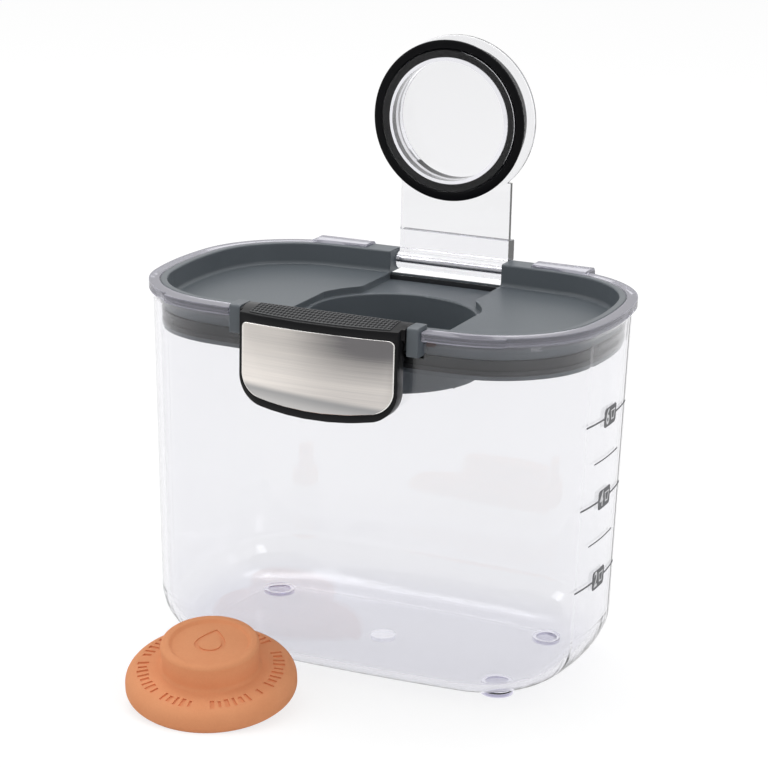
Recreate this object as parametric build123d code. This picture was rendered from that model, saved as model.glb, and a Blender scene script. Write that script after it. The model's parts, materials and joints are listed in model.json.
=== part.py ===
"""Brown sugar container: a clear oblong bin, a clasped lid with a flip cap, and a terracotta disc.

The origin is the middle of the base on the plane it stands on. X runs along the bin, with the
measuring marks on the +X end, the clasp faces -Y and the hinges are at +Y. Sizes are millimetres.
"""
from build123d import *
import math
import os

os.makedirs("parts", exist_ok=True)

# Bin
rim_half_length = 90.0
rim_half_width = 58.5
rim_height = 140.0
corner_radius = 43.9
side_bow_radius = 740.0
end_bow_radius = 130.0
rim_overhang = 2.1
rim_depth = 3.0
rim_set_back = 0.6
rim_flare = 3.0
wall = 2.4
floor_thickness = 2.6
draft_over_height = 4.0
base_radius = 20.0
foot_radius = 6.0
foot_height = 1.5
foot_ring = 1.5
foot_hollow = 1.0
foot_inset_x = 32.6
foot_inset_y = 31.6
gate_radius = 4.8
notch_depth = 10.0
lip_depth = 3.4
front_pad_length = 28.9
front_pad_overhang = 1.4
lug_length = 22.2
lug_cover = 0.3
lug_rise = 0.9
lug_depth = 8.0
edge_round = 0.9
overlap = 0.5
near = 0.01
clear_cut = 10.0

# Lid
lid_gap = 0.35
band_width = 2.6
band_height = 2.8
band_neck_depth = 1.3
band_round = 0.6
tray_depth = 8.4
tray_floor = 2.2
tray_round = 1.6
skirt_depth = 16.4
skirt_wall = 2.0
channel_depth = 2.6
channel_wall = 2.2
keyhole_radius = 33.2
keyhole_half_width = 32.0
keyhole_front_round = 14.0
keyhole_blend = 6.0
pocket_radius = 31.3
pocket_depth = 19.2
pocket_round = 0.6
pocket_wall = 2.3
pocket_floor = 1.8
cup_round = 0.6
pocket_y = 0.4
vent_radius = 3.0
vent_ring_radius = 17.0
vent_count = 8
ear_gap = 0.4
pad_gap = 0.7
front_ear_width = 4.25
front_ear_reach = 1.0
front_ear_rise = 1.4
front_ear_round = 1.2
back_ear_width = 11.1
ear_foot_gap = 0.8
back_ear_lift = 0.6
ear_cover = 0.2
ear_round = 2.4
arm_step = 2.2

# Lid seal
seal_gap = 0.6
seal_height = 5.6
seal_seat = 2.2
seal_lip_depth = 1.6
seal_lip_inset = 0.5
seal_groove_depth = 0.9
seal_groove_height = 2.0
seal_end_gap = 0.1
seal_seat_gap = 0.02

# Hinges
running_gap = 0.05
pin_radius = 1.1
lid_pin_outset = 1.1
lid_pin_drop = 1.4
lid_pin_in_ear = 4.8
lid_pin_in_lug = 11.0
cap_pin_inset = 0.1
cap_pin_drop = 4.6
cap_pin_in_ear = 4.2
barrel_radius = 3.4
barrel_gap = 0.5
pin_end_gap = 0.2

# Flip cap, upright
cap_disc_radius = 31.6
cap_thickness = 2.0
cap_round = 0.5
strap_half_width = 22.7
strap_gap = 0.4
heel_depth = 6.0
heel_start = 3.8
heel_length = 8.0
heel_neck = 3.4
plug_depth = 9.8
plug_boss_radius = 28.4
plug_boss_depth = 5.2
plug_nose_radius = 24.2
plug_lip_radius = 27.0
plug_bore_radius = 22.9
ring_radius = 30.8
ring_lip_radius = 29.2
ring_depth = 4.0
ring_lip_thickness = 1.6

# Clasp
clasp_half_width = 30.5
clasp_arm_half_width = 31.7
clasp_rise = 1.4
clasp_drop = 34.8
clasp_reach = 6.9
clasp_front_bow = 187.0
clasp_back_inset = 0.7
clasp_skin = 2.4
clasp_corner_radius = 11.0
clasp_bottom_bow = 120.0
clasp_arm_inset = 6.9
clasp_arm_drop = 5.2
clasp_arm_thickness = 4.6
clasp_arm_round = 0.9
clasp_slope_start = 4.0
clasp_top_slope = 9.5
clasp_pin_inset = 3.9
clasp_pin_drop = 2.6
clasp_pin_in_ear = 3.2
clasp_barrel_radius = 2.9
catch_half_width = 22.0
catch_thickness = 2.6
catch_gap = 0.6
catch_clearance = 0.4
plate_half_width = 29.4
plate_top_drop = 3.1
plate_bottom_drop = 32.0
plate_corner_top = 2.0
plate_corner_bottom = 9.0
plate_thickness = 0.8
plate_stand = 0.3
plate_gap = 0.1

# Measuring marks
mark_drop = 37.6
mark_step = 15.56
mark_rows = 5
mark_half_length = 20.5
half_mark_half_length = 12.1
mark_line = 0.65
half_mark_line = 0.45
tag_half_width = 6.0
tag_height = 7.2
tag_round = 1.4
mark_thickness = 0.12

# Terracotta disc, leaning on the front wall
disc_pocket_gap = 0.5
disc_height = 18.6
disc_foot_round = 1.0
brim_thickness = 7.4
brim_round = 4.6
brim_rise = 1.3
knob_radius = 17.8
knob_foot_radius = 17.2
knob_blend = 1.6
knob_round = 1.7
knob_dish_radius = 14.6
knob_dish_floor_radius = 13.6
knob_dish_depth = 1.3
knob_dish_round = 0.5
disc_lean = 11.8
disc_heading = -73.7
disc_x = -31.2
disc_gap = 0.4
settling_steps = 3

draft_angle = math.degrees(math.atan(draft_over_height / rim_height))
notch_height = rim_height - notch_depth
foot_x = rim_half_length - foot_inset_x
foot_y = rim_half_width - foot_inset_y
cap_pin_y = rim_half_width - cap_pin_inset
cap_pin_z = rim_height - cap_pin_drop
cap_reach = cap_pin_y - pocket_y
clasp_top = rim_height + clasp_rise
clasp_bottom = rim_height - clasp_drop
clasp_front = rim_half_width + clasp_reach
clasp_back = rim_half_width - clasp_back_inset
clasp_arm_back = rim_half_width - clasp_arm_inset
clasp_pin_y = clasp_pin_inset - rim_half_width
clasp_pin_z = rim_height - clasp_pin_drop
plate_top = rim_height - plate_top_drop
plate_bottom = rim_height - plate_bottom_drop
mark_top = rim_height - mark_drop
wall_inset = rim_overhang
bore_inset = rim_overhang + wall
band_inset = bore_inset + lid_gap
tray_inset = band_inset + band_width
seal_inset = bore_inset + seal_gap
seat_inset = seal_inset + seal_seat
tray_level = rim_height - tray_depth
channel_level = tray_level - channel_depth
lid_foot = rim_height - skirt_depth
seal_foot = lid_foot + seal_lip_depth
seal_top = seal_foot + seal_height
disc_radius = pocket_radius - disc_pocket_gap
pocket_foot = channel_level - pocket_depth
lid_pin_y = rim_half_width + lid_pin_outset
lid_pin_z = rim_height - lid_pin_drop
back_ear_inner = strap_half_width + barrel_gap
back_ear_outer = back_ear_inner + back_ear_width
front_ear_inner = clasp_arm_half_width + ear_gap
front_ear_outer = front_ear_inner + front_ear_width
front_notch = front_ear_outer + pad_gap
back_notch = back_ear_outer + ear_gap
ear_foot = notch_height + ear_foot_gap
front_pad_end = front_notch + front_pad_length
lug_end = back_notch + lug_length


def outline(inset):
    """Plan outline of the bin, set in from the rim's outer edge: four bows and four corner arcs."""
    length = rim_half_length - inset
    width = rim_half_width - inset
    corner = corner_radius - inset
    end = end_bow_radius - inset
    side = side_bow_radius - inset
    end_centre = Vector(length - end, 0)
    side_centre = Vector(0, width - side)
    reach = side_centre - end_centre
    span = reach.length
    from_end = end - corner
    from_side = side - corner
    along = (from_end**2 - from_side**2 + span**2) / (2 * span)
    across = math.sqrt(from_end**2 - along**2)
    ahead = reach.normalized()
    corner_centre = end_centre + ahead * along + Vector(-ahead.Y, ahead.X) * across
    if corner_centre.X + corner_centre.Y < 0:
        corner_centre = end_centre + ahead * along - Vector(-ahead.Y, ahead.X) * across
    to_end = (corner_centre - end_centre).normalized()
    to_side = (corner_centre - side_centre).normalized()
    end_point = corner_centre + to_end * corner
    side_point = corner_centre + to_side * corner
    middle = corner_centre + (to_end + to_side).normalized() * corner

    def flip(point, x_sign, y_sign):
        return Vector(point.X * x_sign, point.Y * y_sign)

    arcs = []
    for x_sign, y_sign in ((1, 1), (-1, 1), (-1, -1), (1, -1)):
        points = [flip(point, x_sign, y_sign) for point in (end_point, middle, side_point)]
        arcs.append(ThreePointArc(*points))
    for sign in (1, -1):
        side_middle = Vector(0, width * sign)
        end_middle = Vector(length * sign, 0)
        arcs.append(ThreePointArc(flip(side_point, 1, sign), side_middle, flip(side_point, -1, sign)))
        arcs.append(ThreePointArc(flip(end_point, sign, 1), end_middle, flip(end_point, sign, -1)))
    return Face(Wire(arcs))


def straight(inset, low, high):
    """Prism on the plan outline between two heights."""
    return extrude(Pos(0, 0, low) * outline(inset), amount=high - low)


def drafted(inset, low, high):
    """Prism whose walls follow the bin's draft, with the inset given at rim height."""
    lean = draft_over_height * (rim_height - high) / rim_height
    return extrude(Pos(0, 0, high) * outline(inset + lean), amount=-(high - low), taper=draft_angle)


def block(x_low, x_high, y_low, y_high, z_low, z_high):
    """Box given by its two corners."""
    centre = Pos((x_low + x_high) / 2, (y_low + y_high) / 2, (z_low + z_high) / 2)
    return centre * Box(x_high - x_low, y_high - y_low, z_high - z_low)


def both_sides(shape):
    """The shape and its mirror image in X."""
    return shape + mirror(shape, about=Plane.YZ)


def post(radius, low, high):
    """Upright cylinder on the Z axis between two heights."""
    return Pos(0, 0, low) * Cylinder(radius, high - low, align=(Align.CENTER, Align.CENTER, Align.MIN))


def rod_x(radius, x_low, x_high, y, z):
    """Cylinder along X."""
    return Pos((x_low + x_high) / 2, y, z) * Rot(0, 90, 0) * Cylinder(radius, x_high - x_low)


def rounded_bar(x_low, x_high, y_low, y_high, z_low, z_high, radius, outward):
    """Box whose two edges along X on the outward side are rounded."""
    bar = block(x_low, x_high, y_low, y_high, z_low, z_high)
    edges = bar.edges().filter_by(Axis.X).sort_by(Axis.Y)
    chosen = edges[-2:] if outward > 0 else edges[:2]
    return fillet(chosen, radius)


def make_bin():
    """Clear shell with a flared rim, pads and lugs beside the two notches, feet and a moulding gate."""
    shell = drafted(wall_inset, foot_height, rim_height)
    shell = fillet(shell.edges().group_by(Axis.Z)[0], base_radius)
    rim_foot = rim_height - rim_depth
    flare_angle = math.degrees(math.atan((wall_inset + overlap - rim_set_back) / rim_flare))
    flare = extrude(Pos(0, 0, rim_foot) * outline(rim_set_back), amount=-rim_flare, taper=flare_angle)
    rim = straight(rim_set_back, rim_foot, rim_height) + flare
    pad_ring = straight(-front_pad_overhang, rim_foot, rim_height)
    pad_zone = block(front_notch, front_pad_end, -rim_half_width - clear_cut, 0, 0, rim_height)
    pad_edges = (pad_ring & pad_zone).edges().filter_by(Axis.Z).sort_by(Axis.Y)
    pads = both_sides(fillet(pad_edges[:2], edge_round))
    lug_back = lid_pin_y + 2 * pin_radius + lug_cover
    lug = rounded_bar(back_notch, lug_end, rim_half_width - tray_inset, lug_back,
                      rim_height - lug_depth, rim_height + lug_rise, ear_round, 1)
    lugs = both_sides(lug)
    shell = shell + rim + pads + lugs
    bore = drafted(bore_inset, foot_height + floor_thickness, rim_height)
    bore = fillet(bore.edges().group_by(Axis.Z)[0], base_radius - wall)
    bore = bore + straight(bore_inset, rim_height, rim_height + clear_cut)
    shell = shell - bore
    above = rim_height + clear_cut
    shell = shell - block(-front_notch, front_notch, -rim_half_width - clear_cut, 0, notch_height, above)
    shell = shell - block(-back_notch, back_notch, 0, rim_half_width + clear_cut, notch_height, above)
    lip_ring = straight(0, notch_height - lip_depth, notch_height)
    lip_ring = lip_ring - straight(wall_inset + wall / 2, 0, rim_height)
    bead = clasp_half_width - clasp_skin - catch_clearance
    front_lip = lip_ring & block(-bead, bead, -rim_half_width - clear_cut, 0, 0, rim_height)
    back_lip = lip_ring & block(-back_notch, back_notch, 0, rim_half_width + clear_cut, 0, rim_height)
    shell = shell + front_lip + back_lip
    shell = shell + post(gate_radius, 0, foot_height + overlap)
    foot = post(foot_radius, 0, foot_height + overlap) - post(foot_radius - foot_ring, 0, foot_hollow)
    for x_sign in (1, -1):
        for y_sign in (1, -1):
            place = Pos(foot_x * x_sign, foot_y * y_sign, 0)
            shell = shell - place * post(foot_radius - foot_ring, 0, foot_hollow) + place * foot
    shell = shell - both_sides(rod_x(pin_radius, back_notch - overlap, back_notch + lid_pin_in_lug,
                                     lid_pin_y, lid_pin_z))
    return shell


def keyhole(grow):
    """Plan of the recess that takes the cap: a round seat and a channel to the back wall."""
    half_width = keyhole_half_width + grow
    front = keyhole_radius + grow
    seat = Pos(0, pocket_y) * Circle(front)
    seat = seat & Pos(0, pocket_y) * Rectangle(2 * half_width, 2 * front)
    shoulder = math.sqrt(front**2 - half_width**2)
    lower = Pos(0, pocket_y + (shoulder - front) / 2) * Rectangle(2 * half_width, front + shoulder)
    lower = fillet(lower.vertices().sort_by(Axis.Y)[:2], keyhole_front_round)
    channel_half = strap_half_width + strap_gap + grow
    back = rim_half_width - tray_inset + overlap
    channel = Pos(0, (pocket_y + back) / 2) * Rectangle(2 * channel_half, back - pocket_y)
    shape = seat + lower + channel
    meeting_y = pocket_y + math.sqrt(front**2 - channel_half**2)
    corners = [v for v in shape.vertices() if abs(v.Y - meeting_y) < near]
    necks = [v for v in corners if abs(abs(v.X) - channel_half) < near]
    return fillet(necks, keyhole_blend)


def make_lid():
    """Grey tray lid with the cap's recess, a pocket for the disc, a sealing skirt and four ears."""
    lid = drafted(band_inset + band_neck_depth, seal_top, rim_height)
    lid = lid + drafted(band_inset, rim_height - band_height, rim_height)
    lid = lid + drafted(seat_inset, lid_foot, seal_top + overlap)
    lid = lid + drafted(seal_inset + seal_lip_inset, lid_foot, seal_foot)
    tray = drafted(tray_inset, tray_level, rim_height)
    tray = fillet(tray.edges().group_by(Axis.Z)[0], tray_round)
    lid = lid - tray
    lid = fillet(lid.edges().group_by(Axis.Z)[-1], band_round)
    lid = lid - drafted(seat_inset + skirt_wall, lid_foot - overlap, tray_level - tray_floor)
    tub_floor = Pos(0, 0, channel_level - channel_wall) * keyhole(pocket_wall)
    tub = extrude(tub_floor, amount=channel_depth + channel_wall)
    tub = tub & straight(seat_inset + skirt_wall / 2, 0, rim_height)
    lid = lid + tub
    cup = post(pocket_radius + pocket_wall, pocket_foot - pocket_floor, channel_level - overlap)
    cup = Pos(0, pocket_y, 0) * cup
    cup = fillet(cup.edges().group_by(Axis.Z)[0], cup_round)
    lid = lid + cup
    lid = lid - extrude(Pos(0, 0, channel_level) * keyhole(0), amount=channel_depth + near)
    lid = lid - Pos(0, pocket_y, 0) * post(pocket_radius, pocket_foot, channel_level + near)
    mouth = lid.edges().filter_by(GeomType.CIRCLE)
    mouth = [e for e in mouth if abs(e.center().Z - channel_level) < 2 * near]
    mouth = [e for e in mouth if abs(e.radius - pocket_radius) < near]
    lid = fillet(mouth, pocket_round)
    above = rim_height + clear_cut
    inner_y = rim_half_width - tray_inset - tray_round
    lid = lid - block(-back_ear_inner, back_ear_inner, inner_y, rim_half_width, tray_level, above)
    arm_seat = tray_level + arm_step
    lid = lid - block(-front_ear_inner, front_ear_inner, -rim_half_width, -inner_y, arm_seat, above)
    ear_root = rim_half_width - tray_inset + overlap
    ear_back = lid_pin_y + 2 * pin_radius + ear_cover
    back_ear = rounded_bar(back_ear_inner, back_ear_outer, ear_root, ear_back,
                           ear_foot + back_ear_lift, rim_height, ear_round, 1)
    front_ear = rounded_bar(front_ear_inner, front_ear_outer, -rim_half_width - front_ear_reach, -ear_root,
                            ear_foot, rim_height + front_ear_rise, front_ear_round, -1)
    lid = lid + both_sides(back_ear) + both_sides(front_ear)
    lid = lid - both_sides(rod_x(pin_radius + running_gap, back_ear_outer - lid_pin_in_ear - pin_end_gap,
                                 back_ear_outer + overlap, lid_pin_y, lid_pin_z))
    lid = lid - both_sides(rod_x(pin_radius, back_ear_inner - overlap, back_ear_inner + cap_pin_in_ear,
                                 cap_pin_y, cap_pin_z))
    lid = lid - both_sides(rod_x(pin_radius, front_ear_inner - overlap, front_ear_inner + clasp_pin_in_ear,
                                 clasp_pin_y, clasp_pin_z))
    vent = post(vent_radius, pocket_foot - pocket_floor - overlap, pocket_foot + overlap)
    lid = lid - Pos(0, pocket_y, 0) * vent
    for index in range(vent_count):
        turn = Rot(0, 0, 360 * index / vent_count)
        lid = lid - Pos(0, pocket_y, 0) * turn * Pos(vent_ring_radius, 0, 0) * vent
    return lid


def make_seal():
    """Silicone band in the groove of the lid's skirt, with two ribs outside."""
    low = seal_foot + seal_end_gap
    high = seal_top - seal_end_gap
    inner = drafted(seat_inset - seal_seat_gap, low - overlap, high + overlap)
    ribs = drafted(seal_inset, low, high)
    groove_low = (low + high - seal_groove_height) / 2
    groove = straight(bore_inset, groove_low, groove_low + seal_groove_height)
    groove = groove - drafted(seal_inset + seal_groove_depth, low, high)
    return ribs - groove - inner


def upright(profile_points):
    """Ring turned from (radius, depth) points, about the cap's axis along -Y from the disc's front."""
    face = make_face(Polyline(*[(radius, depth, 0) for radius, depth in profile_points], close=True))
    ring = revolve(face, Axis.Y)
    return Pos(0, cap_pin_y, cap_pin_z + cap_reach) * mirror(ring, about=Plane.XZ)


def make_cap():
    """Clear flip cap standing open: window disc, stepped plug with a lip, strap, heel and hinge barrel."""
    disc = Pos(0, cap_pin_y + cap_thickness / 2, cap_pin_z + cap_reach) * Rot(90, 0, 0) * Cylinder(
        cap_disc_radius, cap_thickness)
    disc = fillet(disc.edges().filter_by(GeomType.CIRCLE), cap_round)
    root = -cap_thickness / 2
    lip_start = plug_boss_depth + ring_depth
    plug = upright([(plug_bore_radius, root), (plug_boss_radius, root), (plug_boss_radius, plug_boss_depth),
                    (plug_nose_radius, plug_boss_depth), (plug_nose_radius, lip_start),
                    (plug_lip_radius, lip_start), (plug_lip_radius, plug_depth), (plug_bore_radius, plug_depth)])
    strap = block(-strap_half_width, strap_half_width, cap_pin_y, cap_pin_y + cap_thickness,
                  cap_pin_z + heel_start, cap_pin_z + cap_reach - plug_bore_radius - overlap)
    heel = block(-strap_half_width, strap_half_width, cap_pin_y, cap_pin_y + heel_depth,
                 cap_pin_z + heel_start, cap_pin_z + heel_start + heel_length)
    heel = fillet(heel.edges().filter_by(Axis.X), cap_round)
    neck = block(-strap_half_width, strap_half_width, cap_pin_y, cap_pin_y + heel_neck,
                 cap_pin_z, cap_pin_z + heel_start + overlap)
    barrel = rod_x(barrel_radius, -strap_half_width, strap_half_width, cap_pin_y, cap_pin_z)
    cap = disc + strap + heel + neck + barrel + plug
    bore_half = strap_half_width + overlap
    return cap - rod_x(pin_radius + running_gap, -bore_half, bore_half, cap_pin_y, cap_pin_z)


def make_cap_ring():
    """Black sealing ring held behind the plug's lip, with a thin lip of its own outside."""
    deep = plug_boss_depth + ring_depth
    return upright([(plug_nose_radius, plug_boss_depth), (ring_radius, plug_boss_depth),
                    (ring_radius, plug_boss_depth + ring_lip_thickness), (ring_lip_radius, deep),
                    (plug_nose_radius, deep)])


def smile(half_width, top, bottom, top_round, bottom_round):
    """Front outline of the clasp or its plate: flat top, bowed bottom, rounded corners."""
    rise = clasp_bottom_bow - math.sqrt(clasp_bottom_bow**2 - half_width**2)
    corner_z = bottom + rise
    edges = [Line((-half_width, corner_z), (-half_width, top)),
             Line((-half_width, top), (half_width, top)),
             Line((half_width, top), (half_width, corner_z)),
             ThreePointArc((half_width, corner_z), (0, bottom), (-half_width, corner_z))]
    face = Face(Wire(edges))
    by_height = face.vertices().sort_by(Axis.Y)
    face = fillet(by_height[:2], bottom_round)
    return fillet(face.vertices().sort_by(Axis.Y)[-2:], top_round)


def in_front(face, y_low, y_high):
    """Extrude an outline drawn in X and Z from one depth to another."""
    standing = Plane(origin=(0, y_high, 0), x_dir=(1, 0, 0), z_dir=(0, -1, 0)) * face
    return extrude(standing, amount=y_high - y_low, dir=(0, -1, 0))


def bow_column(stand):
    """Upright cylinder whose front is the clasp's bowed face, moved out by the given amount."""
    radius = clasp_front_bow + stand
    centre_y = clasp_front_bow - clasp_front
    return Pos(0, centre_y, rim_height) * Cylinder(radius, 2 * clasp_drop + clear_cut)


def make_clasp():
    """Black clasp lever: bowed face with a raised edge, top arm, hinge barrel and catch rib."""
    outer = smile(clasp_half_width, clasp_top, clasp_bottom, clasp_arm_round, clasp_corner_radius)
    front = in_front(outer, -clasp_front - overlap, -clasp_back)
    inner = smile(clasp_half_width - clasp_skin, clasp_top - clasp_arm_drop, clasp_bottom + clasp_skin,
                  clasp_arm_round, clasp_corner_radius - clasp_skin)
    hollow = in_front(inner, -clasp_front - overlap, -clasp_back + overlap)
    face = (front & bow_column(0)) - (hollow & bow_column(-clasp_skin))
    arm = block(-clasp_arm_half_width, clasp_arm_half_width, -clasp_back - clasp_skin, -clasp_arm_back,
                clasp_top - clasp_arm_thickness, clasp_top)
    arm = fillet(arm.edges().filter_by(Axis.X).sort_by(Axis.Y)[-2:], clasp_arm_round)
    arm_half = clasp_arm_half_width
    barrel = rod_x(clasp_barrel_radius, -arm_half, arm_half, clasp_pin_y, clasp_pin_z)
    tip = rim_half_width + catch_clearance
    catch_top = notch_height - lip_depth - catch_gap
    catch = block(-catch_half_width, catch_half_width, -clasp_front + clasp_skin / 2, -tip,
                  catch_top - catch_thickness, catch_top)
    catch = catch & bow_column(-clasp_skin / 2)
    clasp = face + arm + barrel + catch
    length = clasp_front - clasp_arm_back + clear_cut
    wedge = Pos(0, -length / 2, clear_cut / 2) * Box(2 * arm_half + clear_cut, length, clear_cut)
    slope_start = Pos(0, -clasp_arm_back - clasp_slope_start, clasp_top)
    clasp = clasp - slope_start * Rot(clasp_top_slope, 0, 0) * wedge
    seat = smile(plate_half_width + plate_gap, plate_top + plate_gap, plate_bottom - plate_gap,
                 plate_corner_top, plate_corner_bottom)
    recess = in_front(seat, -clasp_front - overlap, -clasp_back)
    clasp = clasp - (recess - bow_column(plate_stand - plate_thickness))
    bore_half = clasp_arm_half_width + overlap
    return clasp - rod_x(pin_radius + running_gap, -bore_half, bore_half, clasp_pin_y, clasp_pin_z)


def make_plate():
    """Brushed steel plate lying in the clasp's face."""
    edge = smile(plate_half_width, plate_top, plate_bottom, plate_corner_top, plate_corner_bottom)
    plate = in_front(edge, -clasp_front - overlap, -clasp_back)
    return (plate & bow_column(plate_stand)) - bow_column(plate_stand - plate_thickness)


def make_marks():
    """Printed scale on the +X end: tags on the even rows, plain lines between."""
    shapes = []
    for row in range(mark_rows):
        height = mark_top - row * mark_step
        if row % 2 == 0:
            tag = RectangleRounded(2 * tag_half_width, tag_height, tag_round)
            shapes.append(Pos(0, height) * tag)
            shapes.append(Pos(0, height) * Rectangle(2 * mark_half_length, mark_line))
        else:
            shapes.append(Pos(0, height) * Rectangle(2 * half_mark_half_length, half_mark_line))
    outer = drafted(wall_inset - mark_thickness, foot_height, rim_height)
    skin = outer - drafted(wall_inset, foot_height - overlap, rim_height)
    solids = []
    for shape in shapes:
        face = Plane(origin=(rim_half_length - clear_cut, 0, 0), x_dir=(0, 1, 0), z_dir=(1, 0, 0)) * shape
        solids.append(extrude(face, amount=2 * clear_cut, dir=(1, 0, 0)) & skin)
    marks = solids[0]
    for solid in solids[1:]:
        marks = marks + solid
    return marks


def make_disc(shell):
    """Terracotta disc: thick brim, round knob with a dished top, leaning back close to the bin's wall."""
    dish_floor = disc_height - knob_dish_depth
    points = [
        (0, 0),
        (disc_radius, 0),
        (disc_radius, brim_thickness),
        (knob_foot_radius, brim_thickness + brim_rise),
        (knob_radius, disc_height),
        (knob_dish_radius, disc_height),
        (knob_dish_floor_radius, dish_floor),
        (0, dish_floor),
    ]
    face = make_face(Polyline(*[(radius, 0, height) for radius, height in points], close=True))
    body = revolve(face, Axis.Z)
    roundings = {
        disc_radius: brim_round,
        knob_foot_radius: knob_blend,
        knob_radius: knob_round,
        knob_dish_floor_radius: knob_dish_round,
    }
    for radius, rounding in roundings.items():
        rings = body.edges().filter_by(GeomType.CIRCLE)
        edges = [ring for ring in rings if abs(ring.radius - radius) < near and ring.center().Z > near]
        body = fillet(edges, rounding)
    body = fillet(body.edges().group_by(Axis.Z)[0], disc_foot_round)
    body = Rot(0, 0, disc_heading) * Rot(0, disc_lean, 0) * body
    body = Pos(disc_x, 0, -body.bounding_box().min.Z) * body
    body = Pos(0, -rim_half_width - body.bounding_box().max.Y, 0) * body
    for _ in range(settling_steps):
        body = Pos(0, body.distance_to(shell) - disc_gap, 0) * body
    return body


lid_pin = rod_x(pin_radius, back_ear_outer - lid_pin_in_ear, back_notch + lid_pin_in_lug - pin_end_gap,
                lid_pin_y, lid_pin_z)
cap_pin_half = back_ear_inner + cap_pin_in_ear - pin_end_gap
clasp_pin_half = front_ear_inner + clasp_pin_in_ear - pin_end_gap

bin_shell = make_bin()

nodes = {
    "bin": bin_shell,
    "lid": make_lid(),
    "lid_seal": make_seal(),
    "lid_hinge_pins": both_sides(lid_pin),
    "flip_cap": make_cap(),
    "cap_sealing_ring": make_cap_ring(),
    "cap_hinge_pin": rod_x(pin_radius, -cap_pin_half, cap_pin_half, cap_pin_y, cap_pin_z),
    "clasp_lever": make_clasp(),
    "clasp_plate": make_plate(),
    "clasp_hinge_pin": rod_x(pin_radius, -clasp_pin_half, clasp_pin_half, clasp_pin_y, clasp_pin_z),
    "measuring_marks": make_marks(),
    "terracotta_disc": make_disc(bin_shell),
}

for name, shape in nodes.items():
    export_step(shape, f"parts/{name}.step")
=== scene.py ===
import json
import math

import bmesh
import bpy
from mathutils import Matrix, Vector


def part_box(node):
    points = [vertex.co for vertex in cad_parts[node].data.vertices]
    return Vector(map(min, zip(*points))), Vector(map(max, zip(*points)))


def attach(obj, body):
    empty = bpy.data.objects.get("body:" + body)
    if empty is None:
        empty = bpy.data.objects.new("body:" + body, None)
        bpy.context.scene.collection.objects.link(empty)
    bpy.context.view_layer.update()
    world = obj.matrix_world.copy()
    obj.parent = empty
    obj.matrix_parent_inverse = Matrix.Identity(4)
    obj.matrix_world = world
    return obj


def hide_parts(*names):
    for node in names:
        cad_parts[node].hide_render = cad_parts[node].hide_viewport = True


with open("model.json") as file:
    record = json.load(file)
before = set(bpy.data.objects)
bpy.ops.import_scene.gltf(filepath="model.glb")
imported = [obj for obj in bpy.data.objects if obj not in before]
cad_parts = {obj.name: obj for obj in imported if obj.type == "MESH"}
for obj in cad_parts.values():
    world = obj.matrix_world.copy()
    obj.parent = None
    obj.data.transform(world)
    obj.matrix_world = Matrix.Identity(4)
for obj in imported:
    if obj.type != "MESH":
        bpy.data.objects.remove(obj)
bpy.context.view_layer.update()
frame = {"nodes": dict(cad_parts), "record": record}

nodes = frame["nodes"]
MM = 0.001


# ---------------------------------------------------------------- shader maths

class Value:
    """A shader socket that sums, differences and products can be written with."""

    def __init__(self, wiring, socket):
        self.wiring = wiring
        self.socket = socket

    def math(self, operation, *others):
        return self.wiring.add("ShaderNodeMath", self, *others, settings={"operation": operation})

    def __add__(self, other):
        return self.math("ADD", other)

    def __radd__(self, other):
        return self.math("ADD", other)

    def __sub__(self, other):
        return self.math("SUBTRACT", other)

    def __rsub__(self, other):
        return self.math("MULTIPLY_ADD", -1.0, other)

    def __mul__(self, other):
        return self.math("MULTIPLY", other)

    def __rmul__(self, other):
        return self.math("MULTIPLY", other)

    def __abs__(self):
        return self.math("ABSOLUTE")

    def clamp(self):
        return self.math("MINIMUM", 1.0).math("MAXIMUM", 0.0)

    def rising(self, start, end):
        """0 at start and 1 at end, with a smooth change."""
        return self.wiring.add("ShaderNodeMapRange", self, start, end, 0.0, 1.0,
                               settings={"interpolation_type": "SMOOTHSTEP"})

    def falling(self, start, end):
        """1 at start and 0 at end, with a smooth change."""
        return 1.0 - self.rising(start, end)

    def spread(self, low, high):
        """Low where the value is 0 and high where it is 1."""
        return low + (high - low) * self


class Wiring:
    """A shader tree that is built node by node."""

    def __init__(self, tree):
        self.tree = tree
        self.tree.nodes.clear()

    def plug(self, socket, value):
        """Links a Value, sets a plain number or colour, and leaves the socket alone for None."""
        if isinstance(value, Value):
            self.tree.links.new(value.socket, socket)
        elif value is not None:
            socket.default_value = value

    def add(self, kind, *values, settings=None, out=0, **named):
        """A node of one kind with its settings and its inputs in order or by name.

        Gives one output of it, and nothing for a node that ends the tree.
        """
        node = self.tree.nodes.new(kind)
        for key, setting in (settings or {}).items():
            setattr(node, key, setting)
        for socket, value in zip(node.inputs, values):
            self.plug(socket, value)
        for label, value in named.items():
            self.plug(node.inputs[label.replace("_", " ")], value)
        return Value(self, node.outputs[out]) if node.outputs else None

    def axes(self, vector):
        """The three coordinates of a vector."""
        split = self.add("ShaderNodeSeparateXYZ", vector).socket.node
        return [Value(self, socket) for socket in split.outputs]

    def mixed(self, factor, first, second):
        """The first shader where the factor is 0, the second where it is 1."""
        return self.add("ShaderNodeMixShader", factor, first, second)

    def looks(self):
        """Two masks: where the camera, gloss or glass looks, and where gloss alone looks."""
        rays = self.add("ShaderNodeLightPath").socket.node.outputs
        camera, gloss, glass = [Value(self, rays[name]) for name in
                                ("Is Camera Ray", "Is Glossy Ray", "Is Transmission Ray")]
        return (camera + gloss + glass).clamp(), gloss


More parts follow.
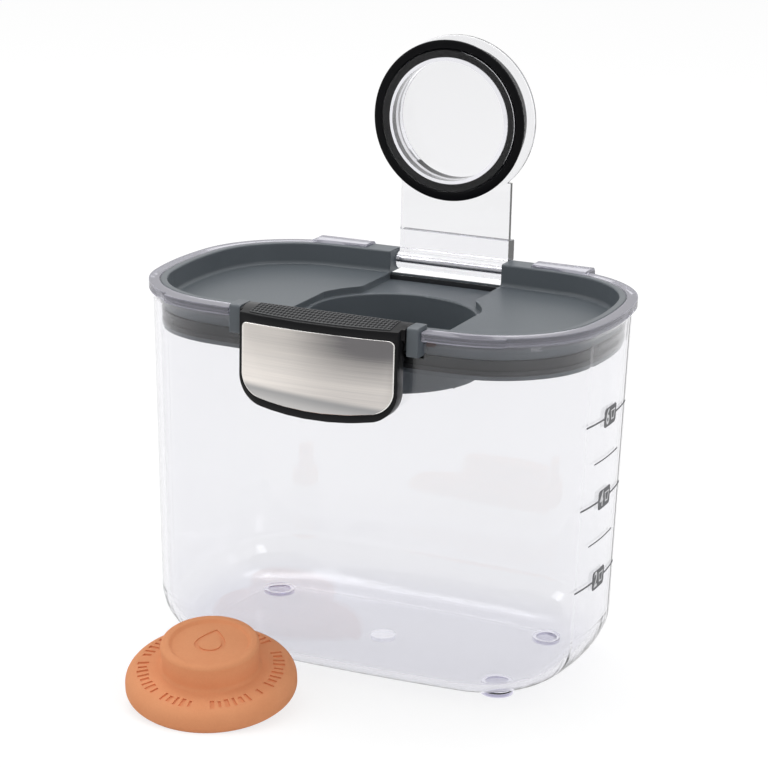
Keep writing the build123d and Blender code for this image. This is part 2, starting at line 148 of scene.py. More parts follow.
class Finish(Wiring):
    """A material and the shader tree of its surface."""

    def __init__(self, name):
        self.material = bpy.data.materials.new(name)
        self.material.use_nodes = True
        super().__init__(self.material.node_tree)

    def place(self):
        """The point on the piece, in metres."""
        return self.add("ShaderNodeTexCoord", out="Object")

    def stretched(self, vector, x, y, z):
        """The vector with each coordinate made larger by its own factor."""
        return self.add("ShaderNodeMapping", vector, Scale=(x, y, z))

    def noise(self, vector, scale, detail=3.0, roughness=0.5):
        return self.add("ShaderNodeTexNoise", vector, out="Fac",
                        Scale=scale, Detail=detail, Roughness=roughness)

    def blend(self, factor, low, high):
        """From one colour to another. The mixer's five number and vector sockets stay unused."""
        number_sockets = [None] * 5
        return self.add("ShaderNodeMix", factor, *number_sockets, low, high,
                        settings={"data_type": "RGBA"}, out=2)

    def bump(self, height, depth, strength=1.0, normal=None):
        """A surface that rises by depth metres where height is 1."""
        return self.add("ShaderNodeBump", Strength=strength, Distance=depth, Height=height, Normal=normal)

    def soft_edges(self, radius):
        """Normals that round each sharp edge by radius metres."""
        return self.add("ShaderNodeBevel", Radius=radius, settings={"samples": 6})

    def matt(self, colour):
        return self.add("ShaderNodeBsdfDiffuse", Color=colour)

    def surface(self, **inputs):
        return self.add("ShaderNodeBsdfPrincipled", out="BSDF", **inputs)

    def wear(self, surface, volume=None):
        """Gives the finished shaders to the material and returns it."""
        self.add("ShaderNodeOutputMaterial", Surface=surface, Volume=volume)
        return self.material


def rgb(red, green, blue):
    return (red, green, blue, 1.0)


def grey(level):
    return rgb(level, level, level)


# ---------------------------------------------------------------- finishes, in metres

def clear_styrene():
    """Clear moulded plastic that lets the lamps through, with painted shade and a painted highlight in the
    rim, and painted shade low down and at its feet.
    """
    finish = Finish("clear_styrene")
    place = finish.place()
    x, _, z = finish.axes(place)
    ripple = finish.noise(place, scale=14.0, detail=2.0)
    haze = finish.noise(place, scale=90.0, detail=3.0)

    # Painted shade in the rim away from the notches: the glass there is tinted grey and partly matt.
    rim_foot, rim_top, beside_notches = (0.1362, 0.1372), (0.1412, 0.1420), (0.030, 0.032)
    rim = z.rising(*rim_foot) * z.falling(*rim_top) * abs(x).rising(*beside_notches)
    # Painted highlight along the rim's top face and its lower hem.
    top_face, hem_start, hem_end = (0.1394, 0.1399), (0.1366, 0.1369), (0.1374, 0.1377)
    painted_rim_highlight = (z.rising(*top_face) * 0.8 + z.rising(*hem_start) * z.falling(*hem_end) * 0.6).clamp()
    # Painted shade at the feet: the glass is violet-dark there, less so near the gate.
    foot_end, beside_gate = (0.0011, 0.0014), (0.02, 0.03)
    foot = z.falling(*foot_end) * abs(x).rising(*beside_gate).spread(0.4, 1.0)
    # Painted shade: the glass is darker low on the wall and darker still at the floor fillet.
    fillet_end, low_end = (0.003, 0.014), (0.006, 0.045)

    wall = finish.blend(ripple, rgb(0.922, 0.923, 0.929), rgb(0.904, 0.905, 0.914))
    low_wall = finish.blend(z.rising(*low_end), rgb(0.885, 0.885, 0.898), wall)
    body = finish.blend(z.rising(*fillet_end), rgb(0.84, 0.84, 0.873), low_wall)
    painted_rim_glass_tint = finish.blend(painted_rim_highlight, rgb(0.72, 0.715, 0.76), rgb(0.90, 0.89, 0.94))
    painted_foot_shade = rgb(0.46, 0.44, 0.58)
    tint = finish.blend(foot, finish.blend(rim, body, painted_rim_glass_tint), painted_foot_shade)
    glass = finish.surface(Base_Color=tint, Roughness=haze.spread(0.001, 0.005),
                           Normal=finish.bump(ripple, depth=0.00022, strength=0.35),
                           IOR=1.5, Transmission_Weight=1.0)
    # The rim's matt share is painted shade, brighter along the painted highlight.
    painted_rim_matt = finish.matt(finish.blend(painted_rim_highlight, rgb(0.27, 0.268, 0.298), rgb(0.64, 0.63, 0.72)))
    painted_rim_matt_share = 0.4
    moulding = finish.mixed(rim * painted_rim_matt_share, glass, painted_rim_matt)
    open_to_lamps = finish.add("ShaderNodeBsdfTransparent", Color=rgb(0.94, 0.94, 0.96))
    lamp_ray = finish.add("ShaderNodeLightPath", out="Is Shadow Ray")
    violet_depth = finish.add("ShaderNodeVolumeAbsorption", Color=rgb(0.55, 0.52, 0.84), Density=10.0)
    return finish.wear(finish.mixed(lamp_ray, moulding, open_to_lamps), violet_depth)


def moulded_plastic(name, grain_scale, cloud_scale, colours, roughness, edge, specular):
    """Satin plastic with the fine grain of its mould, a cloudy colour and faintly rounded edges.

    Roughness is given as the lowest value and what the cloud and the grain add to it.
    """
    finish = Finish(name)
    place = finish.place()
    grain = finish.noise(place, grain_scale, detail=2.0)
    cloud = finish.noise(place, cloud_scale, detail=3.0)
    lowest, from_cloud, from_grain = roughness
    relief = finish.bump(grain, depth=0.00003, strength=0.5, normal=finish.soft_edges(edge))
    return finish.wear(finish.surface(Base_Color=finish.blend(cloud, *colours),
                                      Roughness=cloud * from_cloud + grain * from_grain + lowest,
                                      Normal=relief, Specular_IOR_Level=specular))


def lid_plastic():
    """Cool grey plastic of the lid."""
    return moulded_plastic("lid_plastic", grain_scale=1700.0, cloud_scale=22.0,
                           colours=(rgb(0.101, 0.117, 0.132), rgb(0.117, 0.134, 0.149)),
                           roughness=(0.34, 0.08, 0.06), edge=0.0005, specular=0.42)


def clasp_plastic():
    """Black plastic of the clasp."""
    return moulded_plastic("clasp_plastic", grain_scale=1500.0, cloud_scale=40.0,
                           colours=(rgb(0.006, 0.006, 0.007), rgb(0.010, 0.010, 0.011)),
                           roughness=(0.24, 0.06, 0.08), edge=0.0004, specular=0.17)


def one_grain(name, scale, detail, colours, roughness, relief, **gloss):
    """A finish whose colour, roughness and relief follow one fine noise.

    Colours and roughness are given as low and high, relief as depth and strength.
    """
    finish = Finish(name)
    grain = finish.noise(finish.place(), scale, detail)
    return finish.wear(finish.surface(Base_Color=finish.blend(grain, *colours),
                                      Roughness=grain.spread(*roughness),
                                      Normal=finish.bump(grain, *relief), **gloss))


def seal_rubber():
    """Dark grey rubber of the lid's seal."""
    return one_grain("seal_rubber", scale=240.0, detail=4.0,
                     colours=(rgb(0.027, 0.028, 0.031), rgb(0.034, 0.036, 0.039)),
                     roughness=(0.2, 0.26), relief=(0.00001, 0.3), Specular_IOR_Level=0.16)


def cap_rubber():
    """Black rubber of the cap's ring, with a soft shine."""
    return one_grain("cap_rubber", scale=300.0, detail=4.0,
                     colours=(rgb(0.002, 0.002, 0.003), rgb(0.004, 0.004, 0.005)),
                     roughness=(0.24, 0.36), relief=(0.00004, 0.4), Specular_IOR_Level=0.15)


def grip_plastic():
    """Matt crests of the grip, paler than the clasp; the dimples between them are darker as painted shade.
    """
    return one_grain("grip_plastic", scale=1800.0, detail=3.0,
                     colours=(rgb(0.032, 0.033, 0.035), rgb(0.05, 0.051, 0.054)),
                     roughness=(0.46, 0.56), relief=(0.00003, 0.5), Specular_IOR_Level=0.3)


def painted_highlight_edge():
    """Bright rolled edge of the steel plate, a painted highlight."""
    return one_grain("painted_highlight_edge", scale=900.0, detail=2.0,
                     colours=(rgb(0.88, 0.86, 0.83), rgb(0.95, 0.94, 0.92)),
                     roughness=(0.2, 0.3), relief=(0.00001, 0.3), Metallic=0.9)


def scale_ink():
    """Matt grey screen print, slightly uneven in cover."""
    return one_grain("scale_ink", scale=900.0, detail=3.0,
                     colours=(rgb(0.105, 0.107, 0.115), rgb(0.15, 0.152, 0.16)),
                     roughness=(0.5, 0.7), relief=(0.00002, 0.3))


def number_ink():
    """Pale print of the numbers."""
    return one_grain("number_ink", scale=900.0, detail=3.0,
                     colours=(rgb(0.74, 0.74, 0.76), rgb(0.82, 0.82, 0.84)),
                     roughness=(0.4, 0.6), relief=(0.00002, 0.3))


def brushed_steel():
    """Warm steel brushed along its length, with a painted dark reflection towards its upper right, painted
    shade from its middle to its right and a painted cool reflection along its foot.
    """
    finish = Finish("brushed_steel")
    place = finish.place()
    x, _, z = finish.axes(place)
    hairs = finish.noise(finish.stretched(place, 16.0, 16.0, 5200.0), scale=1.0, detail=4.0, roughness=0.65)
    streaks = finish.noise(finish.stretched(place, 9.0, 9.0, 620.0), scale=1.0, detail=3.0, roughness=0.6)
    right_end, upper_end, middle = (0.032, 0.070), (0.1165, 0.1365), (-0.024, 0.012)
    # Painted dark reflection towards the upper right and painted shade from the middle to the right; the
    # hairs and streaks are the real brushing.
    painted_dark_reflection = (x + z * 0.35).rising(*right_end) * (z - x * 0.10).rising(*upper_end)
    shade = (painted_dark_reflection + x.rising(*middle) * 0.3
             + (hairs - 0.5) * 0.4 + (streaks - 0.5) * 0.45).clamp()
    warm = finish.blend(shade, rgb(0.92, 0.868, 0.818), rgb(0.26, 0.25, 0.255))
    # Painted cool reflection along the plate's foot.
    height = z + x * 0.05
    foot_fade, foot_top = (0.1075, 0.1135), (0.1122, 0.1148)
    cool = finish.blend(height.rising(*foot_fade), rgb(0.53, 0.525, 0.52), rgb(0.25, 0.26, 0.275))
    along_foot = height.falling(*foot_top) * 0.8
    return finish.wear(finish.surface(Base_Color=finish.blend(along_foot, warm, cool), Metallic=0.85,
                                      Roughness=hairs.spread(0.26, 0.42),
                                      Normal=finish.bump(hairs, depth=0.00002, strength=0.6)))


def pin_steel():
    """Bright turned steel with faint rings."""
    finish = Finish("pin_steel")
    rings = finish.noise(finish.stretched(finish.place(), 2600.0, 60.0, 60.0), scale=1.0, detail=2.0)
    colour = finish.blend(rings, rgb(0.55, 0.55, 0.57), rgb(0.72, 0.72, 0.74))
    return finish.wear(finish.surface(Base_Color=colour, Metallic=1.0, Roughness=rings.spread(0.14, 0.26),
                                      Normal=finish.bump(rings, depth=0.00002, strength=0.3)))


def terracotta():
    """Unglazed orange clay, cloudy in tone, with fine darker sand and pores."""
    finish = Finish("terracotta")
    place = finish.place()
    sand = finish.noise(place, scale=1300.0, detail=4.0, roughness=0.6)
    cloud = finish.noise(place, scale=60.0, detail=4.0, roughness=0.55)
    pores = finish.add("ShaderNodeTexVoronoi", place, out="Distance", Scale=900.0)
    pit = pores.falling(0.03, 0.16)
    clay = finish.blend(cloud, rgb(0.82, 0.33, 0.152), rgb(0.91, 0.415, 0.21))
    colour = finish.blend((sand * 0.35 + pit * 0.25).clamp(), clay, rgb(0.67, 0.245, 0.105))
    return finish.wear(finish.surface(Base_Color=colour, Roughness=sand.spread(0.8, 0.92),
                                      Normal=finish.bump(sand * 0.6 - pit, depth=0.00012, strength=0.5),
                                      Specular_IOR_Level=0.2))


def white_sweep():
    """White paper that stays white to the camera and through glass; far in front it is darker only where
    gloss looks, a painted dark reflection.
    """
    finish = Finish("white_sweep")
    place = finish.place()
    _, y, _ = finish.axes(place)
    fibre = finish.noise(place, scale=60.0, detail=2.0)
    paper = finish.matt(finish.blend(fibre, grey(0.79), grey(0.8)))
    glow = finish.add("ShaderNodeEmission", Color=grey(1.0), Strength=0.76)
    white = finish.add("ShaderNodeAddShader", glow, finish.matt(grey(0.32)))
    looked_at, in_gloss = finish.looks()
    # Painted dark reflection: the paper in front is darker only to gloss rays.
    near_part, far_part = (-0.50, -0.20), (-0.73, -0.60)
    ahead = y.falling(*near_part) * 0.30 + y.falling(*far_part) * 0.54
    seen = finish.mixed(ahead * in_gloss, white, finish.matt(grey(0.22)))
    return finish.wear(finish.mixed(looked_at, paper, seen))


# ---------------------------------------------------------------- carried-over nodes

finishes = {
    "clear_plastic": clear_styrene(),
    "grey_plastic": lid_plastic(),
    "black_plastic": clasp_plastic(),
    "black_rubber": cap_rubber(),
    "grey_rubber": seal_rubber(),
    "brushed_steel": brushed_steel(),
    "pin_steel": pin_steel(),
    "print_grey": scale_ink(),
    "terracotta": terracotta(),
}
node_slots = {part["node"]: part["material_slot"] for part in frame["record"]["subparts"]}
for name, node in nodes.items():
    node.data.materials.clear()
    node.data.materials.append(finishes[node_slots[name]])


# ---------------------------------------------------------------- shaping, tolerances in metres

weld_distance = 1e-7
ring_tolerance = 1e-6


def new_piece(name, shape, finish, body, sharp=40.0):
    """A smooth-shaded piece from a bmesh that is already in place, riding on a body."""
    mesh = bpy.data.meshes.new(name)
    shape.to_mesh(mesh)
    shape.free()
    mesh.shade_smooth()
    mesh.set_sharp_from_angle(angle=math.radians(sharp))
    mesh.materials.append(finish)
    piece = bpy.data.objects.new(name, mesh)
    bpy.context.scene.collection.objects.link(piece)
    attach(piece, body)
    return piece


def turned(profile, segments):
    """A closed shape turned about Z from (radius, height) points in millimetres."""
    shape = bmesh.new()
    points = [shape.verts.new((radius * MM, 0.0, height * MM)) for radius, height in profile]
    edges = [shape.edges.new(pair) for pair in zip(points, points[1:])]
    bmesh.ops.spin(shape, geom=points + edges, axis=(0, 0, 1), cent=(0, 0, 0), dvec=(0, 0, 0),
                   angle=2.0 * math.pi, steps=segments, use_merge=True)
    bmesh.ops.remove_doubles(shape, verts=shape.verts, dist=weld_distance)
    bmesh.ops.recalc_face_normals(shape, faces=shape.faces)
    return shape


def round_ring(shape, radius, height, size, segments):
    """Rounds the ring of edges at a radius and a height, all in millimetres."""
    def on_ring(vertex):
        return (abs(math.hypot(vertex.co.x, vertex.co.y) - radius * MM) < ring_tolerance
                and abs(vertex.co.z - height * MM) < ring_tolerance)
    ring = [edge for edge in shape.edges if all(on_ring(vertex) for vertex in edge.verts)]
    bmesh.ops.bevel(shape, geom=ring, affect="EDGES", offset=size * MM, offset_type="OFFSET",
                    segments=segments, profile=0.5, material=-1)


def as_mesh(thing):
    """The final mesh of an object that isn't linked anywhere yet."""
    bpy.context.scene.collection.objects.link(thing)
    bpy.context.view_layer.update()
    mesh = bpy.data.meshes.new_from_object(thing.evaluated_get(bpy.context.evaluated_depsgraph_get()))
    bpy.data.objects.remove(thing)
    return mesh


def carved(shape, cutter):
    """The shape with the cutter's shape taken away."""
    things = []
    for source in (shape, cutter):
        mesh = bpy.data.meshes.new("carving")
        source.to_mesh(mesh)
        source.free()
        things.append(bpy.data.objects.new("carving", mesh))
    body, tool = things
    bpy.context.scene.collection.objects.link(tool)
    cut = body.modifiers.new("cut", "BOOLEAN")
    cut.operation = "DIFFERENCE"
    cut.solver = "EXACT"
    cut.object = tool
    result = bmesh.new()
    result.from_mesh(as_mesh(body))
    bpy.data.objects.remove(tool)
    return result


# ---------------------------------------------------------------- terracotta disc, in mm and degrees

disc_radius = 30.8
disc_height = 18.6
brim_thickness = 7.4
brim_round = 4.6
brim_rise = 1.3
foot_round = 1.0
knob_radius = 17.8
knob_foot_radius = 17.2
knob_blend = 1.6
knob_round = 1.7
dish_radius = 14.6
dish_floor_radius = 13.6
dish_depth = 1.3
dish_round = 0.5
dish_floor_round = 0.4
disc_segments = 128
drop_radius = 5.1
drop_tip = 4.6
drop_inner_share = 0.72
drop_width_share = 1.12
drop_segments = 56
drop_depth = 0.45
drop_turn = 86.0
dash_radius = 24.4
dash_depth = 0.55
dash_height = 1.2
dash_count = 58
dash_gaps = {0, 1, 8, 10, 20, 21, 28, 35, 36, 43, 52}
long_dash = 4.2
short_dash = 3.2
wide_dash = 1.5
thin_dash = 1.0
disc_lean = 11.8
disc_heading = -73.7


def drop_band(top):
    """A thick band along the outline of a drop, to be cut into the knob's dish."""
    shape = bmesh.new()
    radius = drop_radius * MM
    for share in (1.0, drop_inner_share):
        loop = bmesh.ops.create_circle(shape, segments=drop_segments, radius=radius)["verts"]
        for vertex in loop:
            rise = (vertex.co.y / radius + 1.0) / 2.0
            vertex.co.x *= drop_width_share * math.sqrt(max(1.0 - rise ** 4, 0.0)) * share
            vertex.co.y = (vertex.co.y + drop_tip * MM * rise ** 3) * share
    bmesh.ops.bridge_loops(shape, edges=shape.edges[:])
    wall = bmesh.ops.extrude_face_region(shape, geom=shape.faces[:])["geom"]
    lifted = [part for part in wall if isinstance(part, bmesh.types.BMVert)]
    bmesh.ops.translate(shape, verts=lifted, vec=(0.0, 0.0, 2.0 * drop_depth * MM))
    bmesh.ops.recalc_face_normals(shape, faces=shape.faces)
    turn = Matrix.Rotation(math.radians(drop_turn), 4, "Z")
    bmesh.ops.transform(shape, verts=shape.verts,
                        matrix=turn @ Matrix.Translation((0.0, 0.0, (top - drop_depth) * MM)))
    return shape


def brim_dashes(shape, middle_height, slope):
    """Adds a ring of short radial bars in groups, to be cut into the brim."""
    seat_height = middle_height + dash_height / 2 - dash_depth
    seat = Matrix.Translation((dash_radius * MM, 0.0, seat_height * MM))
    for place in range(dash_count):
        if place in dash_gaps:
            continue
        length = long_dash if place % 3 else short_dash
        width = thin_dash if place % 2 else wide_dash
        turn = Matrix.Rotation(2.0 * math.pi * place / dash_count, 4, "Z")
        size = Matrix.Diagonal((length * MM, width * MM, dash_height * MM, 1.0))
        bmesh.ops.create_cube(shape, size=1.0, matrix=turn @ seat @ Matrix.Rotation(slope, 4, "Y") @ size)
    bmesh.ops.recalc_face_normals(shape, faces=shape.faces)


def make_disc():
    """The disc with rounded edges, a drop in its dish and dashes on its brim, leaning as the solid does."""
    dish_floor = disc_height - dish_depth
    brim_top = brim_thickness + brim_rise
    shape = turned([(0, 0), (disc_radius, 0), (disc_radius, brim_thickness), (knob_foot_radius, brim_top),
                    (knob_radius, disc_height), (dish_radius, disc_height), (dish_floor_radius, dish_floor),
                    (0, dish_floor)], disc_segments)
    rounds = ((disc_radius, 0, foot_round, 3), (disc_radius, brim_thickness, brim_round, 8),
              (knob_foot_radius, brim_top, knob_blend, 6), (knob_radius, disc_height, knob_round, 6),
              (dish_radius, disc_height, dish_round, 3),
              (dish_floor_radius, dish_floor, dish_floor_round, 3))
    for radius, height, size, segments in rounds:
        round_ring(shape, radius, height, size, segments)
    cutter = drop_band(dish_floor)
    fall = (brim_top - brim_thickness) / (disc_radius - knob_foot_radius)
    brim_dashes(cutter, brim_top - fall * (dash_radius - knob_foot_radius), math.atan(fall))
    shape = carved(shape, cutter)
    lean = Matrix.Rotation(math.radians(disc_lean), 3, "Y")
    heading = Matrix.Rotation(math.radians(disc_heading), 3, "Z")
    bmesh.ops.rotate(shape, verts=shape.verts, cent=(0, 0, 0), matrix=heading @ lean)
    low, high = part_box("terracotta_disc")
    shift = []
    for axis in range(3):
        reach = [vertex.co[axis] for vertex in shape.verts]
        shift.append(0.5 * (low[axis] + high[axis]) - 0.5 * (min(reach) + max(reach)))
    bmesh.ops.translate(shape, verts=shape.verts, vec=shift)
    piece = new_piece("clay_disc", shape, finishes["terracotta"], "disc", sharp=35.0)
    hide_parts("terracotta_disc")


# ---------------------------------------------------------------- cap seal, in mm

seal_inner_radius = 24.28
seal_tuck_radius = 27.15
seal_tuck_ramp = 0.5
seal_tuck_step = 0.6
seal_inner_step = 0.3
seal_lip_reach = 1.6
seal_lip_start_share = 0.5
seal_lip_end_share = 0.78
seal_lip_round = 0.5
seal_neck_round = 0.3
seal_ramp_round = 0.25
seal_segments = 128


def make_cap_seal():
    """Black ring with a proud outer lip and an inner part that steps back behind the plug's lip."""
    low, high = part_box("cap_sealing_ring")
    outer = (high.x - low.x) / (2 * MM)
    depth = (high.y - low.y) / MM
    neck = outer - seal_lip_reach
    lip_end = depth * seal_lip_end_share
    ramp = seal_tuck_radius + seal_tuck_ramp
    shape = turned([(seal_inner_radius, 0), (neck, 0), (neck, depth * seal_lip_start_share),
                    (outer, lip_end), (outer, depth), (ramp, depth),
                    (seal_tuck_radius, depth - seal_tuck_step),
                    (seal_inner_radius, depth - seal_inner_step), (seal_inner_radius, 0)], seal_segments)
    rounds = ((outer, depth, seal_lip_round), (outer, lip_end, seal_neck_round),
              (ramp, depth, seal_ramp_round))
    for radius, height, size in rounds:
        round_ring(shape, radius, height, size, segments=4)
    bmesh.ops.rotate(shape, verts=shape.verts, cent=(0, 0, 0),
                     matrix=Matrix.Rotation(math.radians(90), 3, "X"))
    bmesh.ops.translate(shape, verts=shape.verts, vec=(0.0, high.y, 0.5 * (low.z + high.z)))
    piece = new_piece("cap_seal", shape, finishes["black_rubber"], "cap")
    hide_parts("cap_sealing_ring")


# ---------------------------------------------------------------- clasp, in mm and degrees

node_weld = 0.002
flat_angle = 3.0
clasp_round = 0.45
plate_round = 0.35
front_facing = -0.95


def softened(node, size, segments, angle):
    """A copy of a CAD node's shape with its edges that are sharper than an angle rounded."""
    shape = bmesh.new()
    shape.from_mesh(nodes[node].data)
    bmesh.ops.remove_doubles(shape, verts=shape.verts, dist=node_weld * MM)
    bmesh.ops.dissolve_limit(shape, angle_limit=math.radians(flat_angle),
                             verts=shape.verts, edges=shape.edges)
    sharp = [edge for edge in shape.edges
             if edge.is_manifold and edge.calc_face_angle(0.0) > math.radians(angle)]
    bmesh.ops.bevel(shape, geom=sharp, affect="EDGES", offset=size * MM, offset_type="OFFSET",
                    segments=segments, profile=0.5, material=-1, clamp_overlap=True)
    return shape


def make_lever():
    """Black lever of the clasp with soft edges."""
    shape = softened("clasp_lever", clasp_round, segments=3, angle=50.0)
    piece = new_piece("clasp_body", shape, finishes["black_plastic"], "clasp", sharp=30.0)
    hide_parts("clasp_lever")


def make_plate():
    """Brushed plate, with a painted highlight wherever its rounded edges turn away from the front."""
    shape = softened("clasp_plate", plate_round, segments=3, angle=40.0)
    # Faces turned away from the front take the bright finish, a painted highlight.
    for face in shape.faces:
        if face.normal.y > front_facing:
            face.material_index = 1
    piece = new_piece("clasp_face", shape, finishes["brushed_steel"], "clasp", sharp=30.0)
    piece.data.materials.append(painted_highlight_edge())
    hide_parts("clasp_plate")


grip_half_length = 27.0
grip_back_margin = 1.3
grip_front_margin = 1.3
grip_rise = 0.3
dimple_pitch = 1.5
dimple_depth = 0.35
dimple_wall = 0.2
grid_cells = 60
diamond_stretch = 1.35
whole_dimple_share = 0.9
clasp_bow = 187.0
top_slope = 9.5
slope_start = 4.0


def make_grip():
    """Panel of small diamond dimples on the clasp's top arm."""
    low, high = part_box("clasp_lever")
    back = high.y - grip_back_margin * MM
    front = low.y + grip_front_margin * MM
    depth = back - front
    side = dimple_pitch / math.sqrt(2.0) * MM
    shape = bmesh.new()
    bmesh.ops.create_grid(shape, x_segments=grid_cells, y_segments=grid_cells, size=grid_cells * side / 2)
    marked = shape.faces.layers.int.new("dimple")
    for face in shape.faces:
        column, row = [math.floor(value / side) for value in face.calc_center_median().xy]
        face[marked] = (column + row) % 2
    bmesh.ops.rotate(shape, verts=shape.verts, cent=(0, 0, 0),
                     matrix=Matrix.Rotation(math.radians(45), 3, "Z"))
    bmesh.ops.scale(shape, verts=shape.verts, vec=(1.0, diamond_stretch, 1.0))
    half = grip_half_length * MM
    cuts = (((half, 0, 0), (1, 0, 0)), ((-half, 0, 0), (-1, 0, 0)),
            ((0, depth / 2, 0), (0, 1, 0)), ((0, -depth / 2, 0), (0, -1, 0)))
    for place, direction in cuts:
        bmesh.ops.bisect_plane(shape, geom=shape.verts[:] + shape.edges[:] + shape.faces[:],
                               dist=weld_distance, plane_co=place, plane_no=direction, clear_outer=True)
    whole = side * side * diamond_stretch * whole_dimple_share
    dimples = [face for face in shape.faces if face[marked] and face.calc_area() > whole]
    bmesh.ops.inset_individual(shape, faces=dimples, thickness=dimple_wall * MM, depth=0.0)
    # The dimples take the darker black finish: painted shade in the recesses.
    for face in dimples:
        face.material_index = 1
    bmesh.ops.translate(shape, verts=list({vertex for face in dimples for vertex in face.verts}),
                        vec=(0, 0, -dimple_depth * MM))
    rim = [edge for edge in shape.edges if edge.is_boundary]
    skirt = bmesh.ops.extrude_edge_only(shape, edges=rim)["geom"]
    bmesh.ops.translate(shape, verts=[part for part in skirt if isinstance(part, bmesh.types.BMVert)],
                        vec=(0, 0, -grip_rise * MM))
    slope = math.tan(math.radians(top_slope))
    crease = high.y - slope_start * MM
    for vertex in shape.verts:
        forward = 0.5 - vertex.co.y / depth
        vertex.co.y += 0.5 * (back + front) + forward * vertex.co.x ** 2 / (2 * clasp_bow * MM)
        vertex.co.z += high.z + grip_rise * MM - max(crease - vertex.co.y, 0.0) * slope
    bmesh.ops.recalc_face_normals(shape, faces=shape.faces)
    piece = new_piece("clasp_grip", shape, grip_plastic(), "clasp", sharp=20.0)
    # The second finish, darker black, is the painted shade in the dimples.
    piece.data.materials.append(finishes["black_rubber"])


# ---------------------------------------------------------------- scale numbers, in mm

tag_rows = ((102.4, "6"), (71.3, "4"), (40.2, "2"))
print_lift = 0.05
digit_size = 8.2
digit_boldness = 0.16
digit_width_share = 0.82
digit_side = 3.1
cup_side = 2.1
cup_half_width = 2.3
cup_half_height = 1.9
cup_foot_share = 0.62
cup_stroke = 0.75
probe_start = 1000.0
xy_to_yz = Matrix(((0, 0, 1, 0), (1, 0, 0, 0), (0, 1, 0, 0), (0, 0, 0, 1)))


def lay_on_tags(shape, row):
    """Moves a flat print, drawn in Y and Z, onto the tag at a height."""
    marks = nodes["measuring_marks"]
    for vertex in shape.verts:
        start = Vector((probe_start * MM, vertex.co.y, vertex.co.z + row * MM))
        hit, place, _, _ = marks.ray_cast(start, Vector((-1.0, 0.0, 0.0)))
        if hit:
            vertex.co = place + Vector((print_lift * MM, 0.0, 0.0))


def make_numbers():
    """Pale numbers with a small cup sign on the tags."""
    ink = number_ink()
    for row, digit in tag_rows:
        text = bpy.data.curves.new("digit", "FONT")
        text.body = digit
        text.size = digit_size * MM
        text.align_x = "CENTER"
        text.align_y = "CENTER"
        text.resolution_u = 6
        text.offset = digit_boldness * MM
        shape = bmesh.new()
        shape.from_mesh(as_mesh(bpy.data.objects.new("digit", text)))
        bmesh.ops.scale(shape, verts=shape.verts, vec=(digit_width_share, 1.0, 1.0))
        bmesh.ops.translate(shape, verts=shape.verts, vec=(-digit_side * MM, 0.0, 0.0))
        sign = bmesh.ops.create_grid(shape, x_segments=1, y_segments=1, size=MM)["verts"]
        bmesh.ops.scale(shape, verts=sign, vec=(cup_half_width, cup_half_height, 1.0))
        for vertex in sign:
            if vertex.co.y < 0:
                vertex.co.x *= cup_foot_share
        inside = [face for face in shape.faces if all(vertex in sign for vertex in face.verts)]
        rim = bmesh.ops.inset_region(shape, faces=inside, thickness=cup_stroke * MM,
                                     use_boundary=True)["faces"]
        bmesh.ops.delete(shape, geom=[face for face in inside if face not in rim], context="FACES_ONLY")
        bmesh.ops.translate(shape, verts=list({vertex for face in rim for vertex in face.verts}),
                            vec=(cup_side * MM, 0.0, 0.0))
        bmesh.ops.transform(shape, verts=shape.verts, matrix=xy_to_yz)
        bmesh.ops.subdivide_edges(shape, edges=shape.edges, cuts=1)
        bmesh.ops.triangulate(shape, faces=shape.faces)
        lay_on_tags(shape, row)
        new_piece("number_" + digit, shape, ink, "container")


make_disc()
make_cap_seal()
make_lever()
make_plate()
make_grip()
make_numbers()


# ---------------------------------------------------------------- stage and camera, in metres and degrees

floor_radius = 9.0
lamp_aim = Vector((0.0, 0.0, 0.08))
camera_heading = 23.9
camera_rise = 15.8
camera_roll = 1.3
camera_distance = 0.9752
camera_aim = Vector((0.0, 0.0, 0.070))
camera_right = -0.0021
camera_up = 0.0309
focal_pixels = 2600.0
frame_pixels = 768.0
film_width = 36.0
nearest_seen = 0.01
glass_bounces = 24


def lay_floor():
    """A wide round sheet of white paper under the container."""
    mesh = bpy.data.meshes.new("sweep")
    floor = bmesh.new()
    bmesh.ops.create_circle(floor, cap_ends=True, segments=96, radius=floor_radius)
    floor.to_mesh(mesh)
    floor.free()
    sweep = bpy.data.objects.new("sweep", mesh)
    bpy.context.scene.collection.objects.link(sweep)
    mesh.materials.append(white_sweep())


def hang_lamp(name, place, width, height, watts, lights_matt=True):
    """A soft lamp that looks at the container, or one that only gloss shows."""
    lamp = bpy.data.lights.new(name, "AREA")
    lamp.shape = "RECTANGLE"
    lamp.size = width
    lamp.size_y = height
    lamp.energy = watts
    holder = bpy.data.objects.new(name, lamp)
    holder.location = place
    holder.rotation_euler = (lamp_aim - Vector(place)).to_track_quat("-Z", "Y").to_euler()
    holder.visible_diffuse = lights_matt
    bpy.context.scene.collection.objects.link(holder)


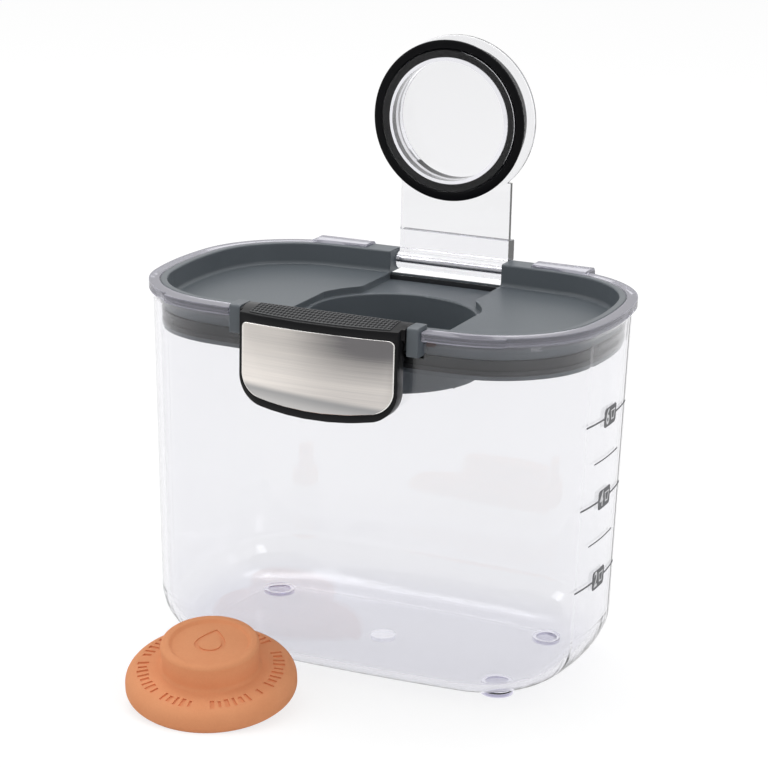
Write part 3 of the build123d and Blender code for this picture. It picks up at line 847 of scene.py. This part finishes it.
def light_world():
    """A soft white room, plain white to look at and darker where gloss looks to the front."""
    world = bpy.data.worlds.new("studio")
    bpy.context.scene.world = world
    world.use_nodes = True
    room = Wiring(world.node_tree)
    looked_at, in_gloss = room.looks()
    soft_light, white, dark = [
        room.add("ShaderNodeBackground", Color=grey(level), Strength=strength)
        for level, strength in ((1.0, 0.62), (1.0, 1.0), (0.2, 1.0))]
    _, y, _ = room.axes(room.add("ShaderNodeTexCoord", out="Generated"))
    front_start, front_end, most_dark = -0.2, -0.7, 0.45
    ahead = ((front_start - y) * (1.0 / (front_start - front_end))).clamp() * most_dark
    plain = room.mixed(looked_at, soft_light, white)
    room.add("ShaderNodeOutputWorld", Surface=room.mixed(ahead * in_gloss, plain, dark))


def set_camera():
    """The viewpoint that was fitted to the rim, the feet, the scale and the plate."""
    turn, rise, roll = (math.radians(angle) for angle in (camera_heading, camera_rise, camera_roll))
    back = Vector((math.sin(turn) * math.cos(rise), -math.cos(turn) * math.cos(rise), math.sin(rise)))
    right = Vector((math.cos(turn), math.sin(turn), 0.0))
    up = back.cross(right)
    place = camera_aim + back * camera_distance + right * camera_right + up * camera_up
    rolled_right = right * math.cos(roll) + up * math.sin(roll)
    rolled_up = up * math.cos(roll) - right * math.sin(roll)
    data = bpy.data.cameras.new("viewpoint")
    data.sensor_width = film_width
    data.lens = film_width * focal_pixels / frame_pixels
    data.clip_start = nearest_seen
    camera = bpy.data.objects.new("viewpoint", data)
    stance = Matrix((rolled_right, rolled_up, back)).transposed().to_4x4()
    camera.matrix_world = Matrix.Translation(place) @ stance
    bpy.context.scene.collection.objects.link(camera)
    bpy.context.scene.camera = camera


lay_floor()
light_world()
hang_lamp("overhead_softbox", (-0.2, 0.3, 1.5), width=1.0, height=0.7, watts=7.0)
hang_lamp("left_softbox", (-1.2, -0.8, 0.9), width=0.4, height=0.8, watts=3.2)
hang_lamp("right_softbox", (1.3, -0.5, 0.8), width=0.3, height=0.8, watts=2.2)
hang_lamp("shine_softbox", (-0.1, 0.35, 1.4), width=1.5, height=0.9, watts=9.0, lights_matt=False)
set_camera()
bpy.context.scene.cycles.max_bounces = glass_bounces
bpy.context.scene.cycles.transmission_bounces = glass_bounces
bpy.context.scene.view_settings.view_transform = "Standard"
